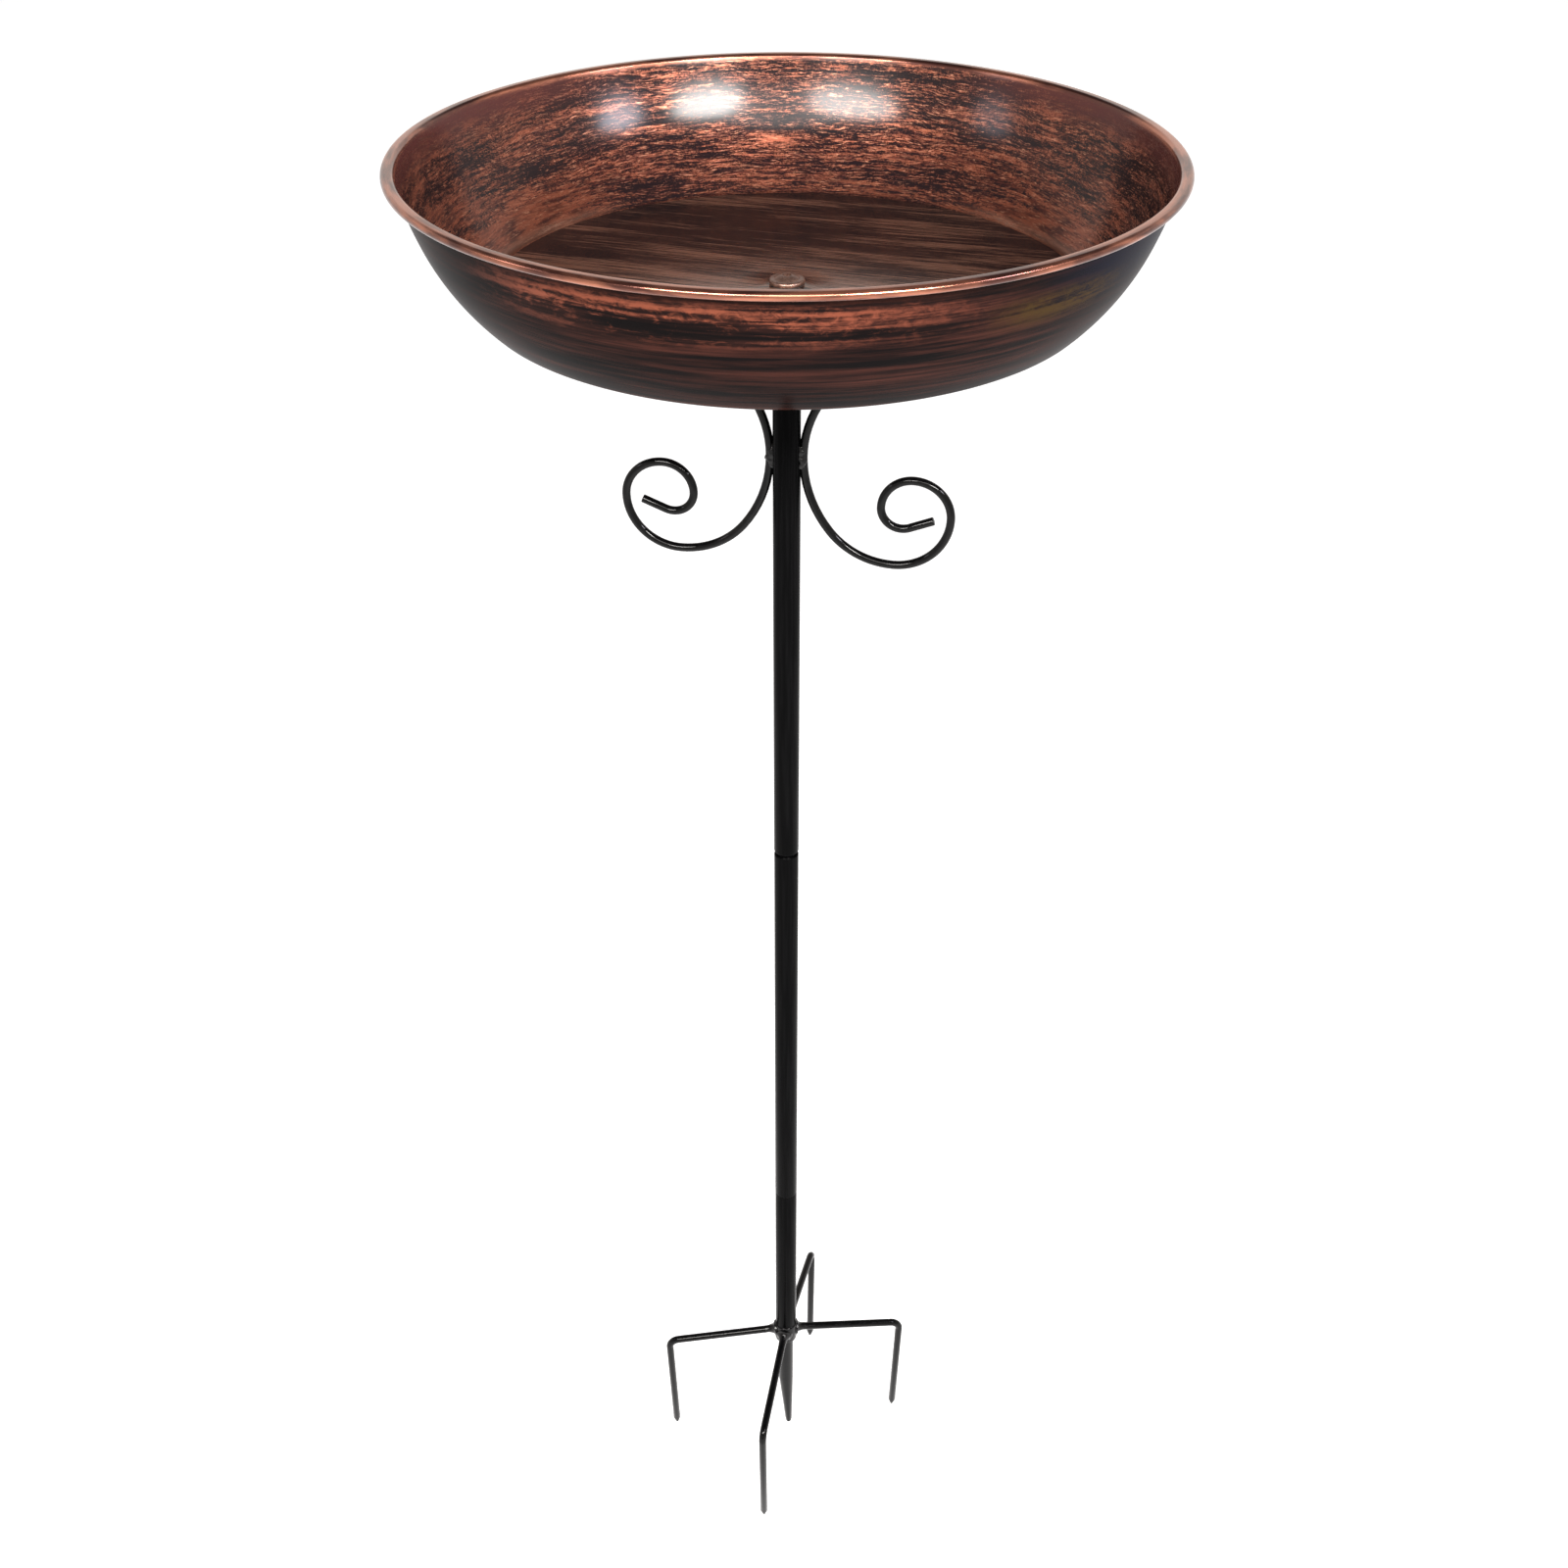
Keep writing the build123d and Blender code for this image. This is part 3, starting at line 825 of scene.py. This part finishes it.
def tube(name, node, base, shoulder, neck_length, finish):
    """One pole tube, drawn in at its top to a neck and a spigot for the next tube."""
    neck_base = shoulder - neck_length
    spigot_top = shoulder + SPIGOT_LENGTH
    corners = [
        (BORE_RADIUS, base, MOUTH_ROUND),
        (TUBE_RADIUS, base, MOUTH_ROUND),
        (TUBE_RADIUS, neck_base, 0.3),
        (NECK_RADIUS, neck_base + NECK_CONE, 0.2),
        (NECK_RADIUS, shoulder, 0.05),
        (SPIGOT_RADIUS, shoulder, 0.05),
        (SPIGOT_RADIUS, spigot_top - SPIGOT_LEAD, 0.6),
        (SPIGOT_RADIUS - SPIGOT_LEAD / 2, spigot_top, 0.1),
        (SPIGOT_BORE_RADIUS, spigot_top, 0.05),
        (SPIGOT_BORE_RADIUS, neck_base - NECK_CONE, 0.3),
        (BORE_RADIUS, neck_base - 2 * NECK_CONE, 0.3),
    ]
    return piece(name, spun(rounded(corners), TUBE_STEPS), node, [finish])


def top_tube(finish):
    corners = [
        (BORE_RADIUS, UPPER_JOINT, MOUTH_ROUND),
        (TUBE_RADIUS, UPPER_JOINT, MOUTH_ROUND),
        (TUBE_RADIUS, FLANGE_TOP, MOUTH_ROUND),
        (BORE_RADIUS, FLANGE_TOP, MOUTH_ROUND),
    ]
    form = spun(rounded(corners), TUBE_STEPS)
    return piece("pole_top_tube", form, "upper_tube", [finish])


def flange(finish):
    corners = [
        (TUBE_RADIUS, FLANGE_BASE, 0),
        (FLANGE_RADIUS, FLANGE_BASE, FLANGE_EDGE_ROUND),
        (FLANGE_RADIUS, FLANGE_TOP, FLANGE_EDGE_ROUND),
        (TUBE_RADIUS, FLANGE_TOP, 0),
    ]
    return piece("dish_flange", spun(rounded(corners), 96), "top_flange", [finish])


def flange_weld(finish):
    """The weld ring under the flange, laid in overlapping puddles."""
    line = Line(TUBE_RADIUS - FLANGE_WELD_OVERLAP, FLANGE_BASE - FLANGE_WELD_LEG)
    line.to(TUBE_RADIUS, FLANGE_BASE - FLANGE_WELD_LEG)
    line.to(TUBE_RADIUS + FLANGE_WELD_LEG, FLANGE_BASE, steps=8)
    line.to(TUBE_RADIUS + FLANGE_WELD_LEG, FLANGE_BASE + FLANGE_WELD_OVERLAP)
    line.to(TUBE_RADIUS - FLANGE_WELD_OVERLAP, FLANGE_BASE + FLANGE_WELD_OVERLAP)
    form = spun(line.points, 144)
    hollow = Vector((TUBE_RADIUS + FLANGE_WELD_LEG, FLANGE_BASE - FLANGE_WELD_LEG))
    for vert in form.verts:
        across = hypot(vert.co.x, vert.co.y)
        if TUBE_RADIUS < across < TUBE_RADIUS + FLANGE_WELD_LEG and vert.co.z < FLANGE_BASE:
            around = atan2(vert.co.y, vert.co.x)
            ripple = PUDDLE_DEPTH * abs(sin(PUDDLE_WAVES * around + 0.3 * vert.co.z))
            reach = (Vector((across, vert.co.z)) - hollow).length
            sink = 0.16 * (1 - (reach / FLANGE_WELD_LEG - 0.7)) - ripple
            vert.co.z += 0.7 * sink
            vert.co.x -= 0.7 * sink * vert.co.x / across
            vert.co.y -= 0.7 * sink * vert.co.y / across
    return piece("flange_weld_bead", form, "flange_weld", [finish])


# ---------------------------------------------------------------- scrolls


def scroll_rod():
    """One wire scroll in its upright plane: foot under the dish, arm down to the tube, closing curl."""
    foot_level = DISH_UNDERSIDE - DISH_TO_FOOT - WIRE_RADIUS
    beside = TUBE_RADIUS + WIRE_RADIUS + WELD_GAP
    lean = radians(ARM_TURN)
    arm_top = (beside + ARM_RADIUS * (1 - cos(lean)), SCROLL_WELD_HEIGHT + ARM_RADIUS * sin(lean))
    bend_drop = FOOT_BEND_RADIUS * (1 - cos(pi / 2 - lean))
    climb = (foot_level - bend_drop - arm_top[1]) / cos(lean)
    foot_x = arm_top[0] + climb * sin(lean) + FOOT_BEND_RADIUS * sin(pi / 2 - lean) + FOOT_LENGTH
    rod = Rod(WIRE_RADIUS - CUT_ROUND, (foot_x, foot_level), (-1, 0))
    rod.straight(CUT_ROUND, WIRE_RADIUS)
    rod.straight(FOOT_LENGTH - CUT_ROUND)
    rod.bend(FOOT_BEND_RADIUS, 90 - ARM_TURN)
    rod.straight(climb)
    rod.bend(ARM_RADIUS, ARM_TURN)
    for radius, turn in CURL:
        rod.bend(radius, turn)
    rod.straight(CURL_TAIL - CUT_ROUND)
    rod.end(CUT_ROUND)
    return rod.close()


def scroll_weld(azimuth, seed):
    """A lumpy weld in the groove between the tube and a scroll."""
    form = bmesh.new()
    bmesh.ops.create_uvsphere(form, u_segments=40, v_segments=32, radius=1.0)
    bmesh.ops.scale(form, vec=SCROLL_WELD_HALF, verts=form.verts)
    roughened(form, size=2.6, depth=0.9, seed=seed)
    roughened(form, size=0.9, depth=0.22, seed=seed + 3)
    place = (TUBE_RADIUS + WIRE_RADIUS / 2, 0, SCROLL_WELD_HEIGHT)
    bmesh.ops.translate(form, vec=place, verts=form.verts)
    return turned_to(form, azimuth)


# ---------------------------------------------------------------- ground stake


def prong_rod():
    """One prong: a drooping arm out from the collar, and a leg down to a blunt point."""
    bend = Vector((PRONG_REACH, PRONG_ROOT_HEIGHT - PRONG_DROOP))
    tip = Vector((PRONG_REACH - PRONG_TIP_INSET, PRONG_TIP_HEIGHT))
    arm = bend - Vector((0, PRONG_ROOT_HEIGHT))
    leg = tip - bend
    turn = arm.angle(leg)
    tuck = PRONG_BEND_RADIUS * sin(turn / 2) / cos(turn / 2)
    start = arm.normalized() * (COLLAR_RADIUS - 1) + Vector((0, PRONG_ROOT_HEIGHT))
    rod = Rod(PRONG_RADIUS, start, arm)
    rod.straight(arm.length - (COLLAR_RADIUS - 1) - tuck)
    rod.bend(PRONG_BEND_RADIUS, -turn * 180 / pi)
    rod.straight(leg.length - tuck - PRONG_POINT_LENGTH)
    rod.straight(PRONG_POINT_LENGTH - PRONG_POINT_RADIUS, PRONG_POINT_RADIUS)
    rod.end(PRONG_POINT_RADIUS - 0.1)
    return rod.close()


def prong_flare(azimuth, seed):
    """The weld round a prong's root, hollow in profile and widest against the collar."""
    droop = atan2(PRONG_DROOP, PRONG_REACH)
    outer_end = COLLAR_RADIUS + FLARE_LENGTH
    line = Line(0.0, COLLAR_RADIUS / 2)
    line.to(FLARE_RADIUS, COLLAR_RADIUS / 2)
    line.to(FLARE_RADIUS, COLLAR_RADIUS - 0.3)
    steps = 8
    for step in range(steps + 1):
        angle = pi / 2 * step / steps
        across = PRONG_RADIUS + (FLARE_RADIUS - PRONG_RADIUS) * (1 - sin(angle)) ** 1.15
        line.to(across, COLLAR_RADIUS + FLARE_LENGTH * (1 - cos(angle)))
    line.to(PRONG_RADIUS - 0.2, outer_end + 0.1)
    line.to(0.0, outer_end + 0.1)
    form = spun(line.points, 56, closed=False)
    bmesh.ops.rotate(form, cent=(0, 0, 0), matrix=Matrix.Rotation(pi / 2, 3, "Y"), verts=form.verts)
    roughened(form, size=2.2, depth=0.35, seed=seed)
    bmesh.ops.rotate(form, cent=(0, 0, 0), matrix=Matrix.Rotation(droop, 3, "Y"), verts=form.verts)
    bmesh.ops.translate(form, vec=(0, 0, PRONG_ROOT_HEIGHT), verts=form.verts)
    return turned_to(form, azimuth)


def collar(finish):
    corners = [
        (BORE_RADIUS, 0, 0),
        (COLLAR_RADIUS, 0, COLLAR_ROUND),
        (COLLAR_RADIUS, COLLAR_TOP, COLLAR_ROUND),
        (BORE_RADIUS, COLLAR_TOP, 0),
    ]
    form = spun(rounded(corners, steps=5), TUBE_STEPS)
    return piece("stake_collar_sleeve", form, "stake_collar", [finish])


def spike(finish):
    """The stake's middle tube: spigot above the collar, and a shank pressed down to a flat point."""
    spigot_top = COLLAR_TOP + SPIGOT_LENGTH
    line = Line(SPIKE_RADIUS, -SPIKE_STRAIGHT)
    line.to(SPIKE_RADIUS, 0)
    line.to(SPIGOT_RADIUS, 0)
    line.to(SPIGOT_RADIUS, spigot_top - SPIGOT_LEAD)
    line.to(SPIGOT_RADIUS - SPIGOT_LEAD / 2, spigot_top)
    line.to(SPIGOT_BORE_RADIUS, spigot_top)
    line.to(SPIGOT_BORE_RADIUS, COLLAR_TOP)
    line.to(0, COLLAR_TOP)
    form = spun(line.points, TUBE_STEPS, closed=False)
    edges = [edge for edge in form.edges if edge.is_boundary]
    half_x = half_y = SPIKE_RADIUS
    level, offset = -SPIKE_STRAIGHT, 0.0
    steps = 14
    straight_end = SPIKE_TIP_HEIGHT + SPIKE_TIP_ROUND
    stations = []
    for step in range(1, steps + 1):
        share = step / steps
        stations.append((share, -SPIKE_STRAIGHT + (straight_end + SPIKE_STRAIGHT) * share, 0.0))
    for step in range(1, 5):
        angle = pi / 2 * step / 4
        drop = SPIKE_TIP_ROUND * sin(angle)
        stations.append((1.0, straight_end - drop, SPIKE_TIP_ROUND * (1 - cos(angle))))
    for share, new_level, inset in stations:
        verts, edges = grown_parts(form, edges)
        new_x = SPIKE_RADIUS + (SPIKE_TIP_HALF[0] - SPIKE_RADIUS) * share - inset
        new_y = SPIKE_RADIUS + (SPIKE_TIP_HALF[1] - SPIKE_RADIUS) * share - inset
        new_offset = SPIKE_TIP_OFFSET * share
        about = Matrix.Translation((-offset, 0, 0))
        bmesh.ops.scale(form, vec=(new_x / half_x, new_y / half_y, 1), space=about, verts=verts)
        bmesh.ops.translate(form, vec=(new_offset - offset, 0, new_level - level), verts=verts)
        half_x, half_y, level, offset = new_x, new_y, new_level, new_offset
    bmesh.ops.contextual_create(form, geom=edges)
    bmesh.ops.recalc_face_normals(form, faces=form.faces)
    return piece("stake_spike", form, "ground_spike", [finish])


# ---------------------------------------------------------------- the whole feeder


def feeder():
    pole_black = black_paint("black_gloss_pole", (700, 700, 25), gloss=0.02)
    rod_black = black_paint(
        "black_gloss_rods", (350, 350, 350), gloss=0.16, peel=0.000008, dullness=(0.07, 0.12)
    )
    weld_black = black_paint("black_gloss_welds", (600, 600, 600), gloss=0.25, peel=0.00008)
    bronze = bronze_screw()
    rubber = black_rubber()

    bowl()
    piece("dish_screw", joined([screw_head(), screw_thread()]), "bowl_screw", [bronze])
    washer("screw_head_washer", "screw_washer", bronze)
    washer("rubber_sealing_washer", "sealing_washer", rubber)
    washer("rubber_seat_washer", "seat_washer", rubber)

    flange(pole_black)
    flange_weld(weld_black)
    top_tube(pole_black)
    tube("pole_middle_tube", "middle_tube", LOWER_JOINT, UPPER_JOINT, UPPER_NECK_LENGTH, pole_black)
    tube("pole_lower_tube", "lower_tube", COLLAR_TOP, LOWER_JOINT, LOWER_NECK_LENGTH, pole_black)

    azimuths = {"right": SCROLL_AZIMUTH, "left": SCROLL_AZIMUTH + 180}
    for side, azimuth in azimuths.items():
        form = turned_to(scroll_rod(), azimuth)
        piece(f"{side}_wire_scroll", form, f"{side}_scroll", [rod_black])
    welds = joined([scroll_weld(azimuth, seed) for seed, azimuth in enumerate(azimuths.values())])
    piece("scroll_weld_beads", welds, "scroll_welds", [weld_black])

    for side, azimuth in PRONG_AZIMUTHS.items():
        form = turned_to(prong_rod(), azimuth)
        piece(f"stake_prong_{side}", form, f"prong_{side}", [rod_black])
    flares = [prong_flare(azimuth, seed) for seed, azimuth in enumerate(PRONG_AZIMUTHS.values())]
    piece("prong_weld_beads", joined(flares), "prong_welds", [weld_black])
    collar(rod_black)
    spike(rod_black)

    insert = frame["nodes"]["tube_insert"]
    insert.data.materials.clear()
    insert.data.materials.append(zinc_plate())


# ---------------------------------------------------------------- studio


# Studio, in metres and degrees
FLOOR_HALF_SIZE = 12.0
FLOOR_GAP = 0.0005
FLOOR_GLOW = 0.78
SENSOR_WIDTH = 36.0
LENS_LENGTH = 43.38
CAMERA_PLACE = (0.0, -0.8341, 1.0245)
CAMERA_DOWNWARD = 34.60
CAMERA_TURN = 0.089
HORIZON_AIR = (1.0, 0.94, 0.88, 1)
OVERHEAD_AIR = (0.11, 0.11, 0.12, 1)
WARM_WHITE = (1.0, 0.97, 0.94)
COOL_WHITE = (0.93, 0.90, 1.0)


def studio_floor():
    """A plain pale floor that glows a little, so that it stays even."""
    glow = {"Emission_Color": (1, 1, 1, 1), "Emission_Strength": FLOOR_GLOW}
    finish = Finish("studio_floor", Roughness=0.9, **glow)
    tone = finish.noise(finish.place, scale=3.0)
    colour = finish.mix(tone, (0.58, 0.58, 0.58), (0.61, 0.61, 0.61))
    form = bmesh.new()
    bmesh.ops.create_grid(form, x_segments=1, y_segments=1, size=FLOOR_HALF_SIZE)
    bmesh.ops.translate(form, vec=(0, 0, CAD_BOX[0][2] - FLOOR_GAP), verts=form.verts)
    mesh = bpy.data.meshes.new("studio_floor")
    form.to_mesh(mesh)
    form.free()
    mesh.materials.append(finish.surface(Base_Color=colour))
    ground = bpy.data.objects.new("studio_floor", mesh)
    bpy.context.scene.collection.objects.link(ground)


def softbox(name, azimuth, elevation, size, power, colour=(1, 1, 1), distance=1.6):
    """An oval light aimed at the dish. Azimuth 0 is in front, positive to the right."""
    aim = Vector((0, 0, high("bowl").z * MM))
    turn, lift = radians(azimuth), radians(elevation)
    away = Vector((sin(turn) * cos(lift), -cos(turn) * cos(lift), sin(lift)))
    lamp = bpy.data.lights.new(name, "AREA")
    lamp.shape = "ELLIPSE"
    lamp.size, lamp.size_y = size
    lamp.energy = power
    lamp.color = colour
    holder = bpy.data.objects.new(name, lamp)
    holder.location = aim + away * distance
    holder.rotation_euler = away.to_track_quat("Z", "Y").to_euler()
    bpy.context.scene.collection.objects.link(holder)


def studio_air():
    """Bright round the horizon, darker overhead."""
    world = bpy.data.worlds.new("studio")
    world.use_nodes = True
    tree = world.node_tree
    background = tree.nodes["Background"]
    direction = tree.nodes.new("ShaderNodeTexCoord")
    parts = tree.nodes.new("ShaderNodeSeparateXYZ")
    shade = tree.nodes.new("ShaderNodeValToRGB")
    tree.links.new(direction.outputs["Generated"], parts.inputs["Vector"])
    tree.links.new(parts.outputs["Z"], shade.inputs["Fac"])
    tree.links.new(shade.outputs["Color"], background.inputs["Color"])
    stops = shade.color_ramp.elements
    stops[0].position, stops[0].color = 0.39, HORIZON_AIR
    stops[1].position, stops[1].color = 0.56, OVERHEAD_AIR
    background.inputs["Strength"].default_value = 1.0
    bpy.context.scene.world = world


def camera():
    lens = bpy.data.cameras.new("camera")
    lens.sensor_width = SENSOR_WIDTH
    lens.lens = LENS_LENGTH
    holder = bpy.data.objects.new("camera", lens)
    holder.location = CAMERA_PLACE
    holder.rotation_euler = (radians(90 - CAMERA_DOWNWARD), 0.0, radians(CAMERA_TURN))
    bpy.context.scene.collection.objects.link(holder)
    bpy.context.scene.camera = holder


camera()
studio_floor()
studio_air()
softbox("front_right_softbox", 29, 28, (0.66, 0.24), 36, colour=WARM_WHITE)
softbox("front_left_softbox", -24, 29, (0.80, 0.25), 29, colour=WARM_WHITE)
softbox("front_bank", 2, 33, (1.70, 0.62), 28, colour=(1.0, 0.95, 0.92), distance=2.2)
softbox("right_fill", 62, 25, (0.42, 0.24), 11, colour=COOL_WHITE)
softbox("left_fill", -76, 21, (0.40, 0.24), 1.7, colour=COOL_WHITE)
bpy.context.scene.view_settings.view_transform = "Standard"
feeder()
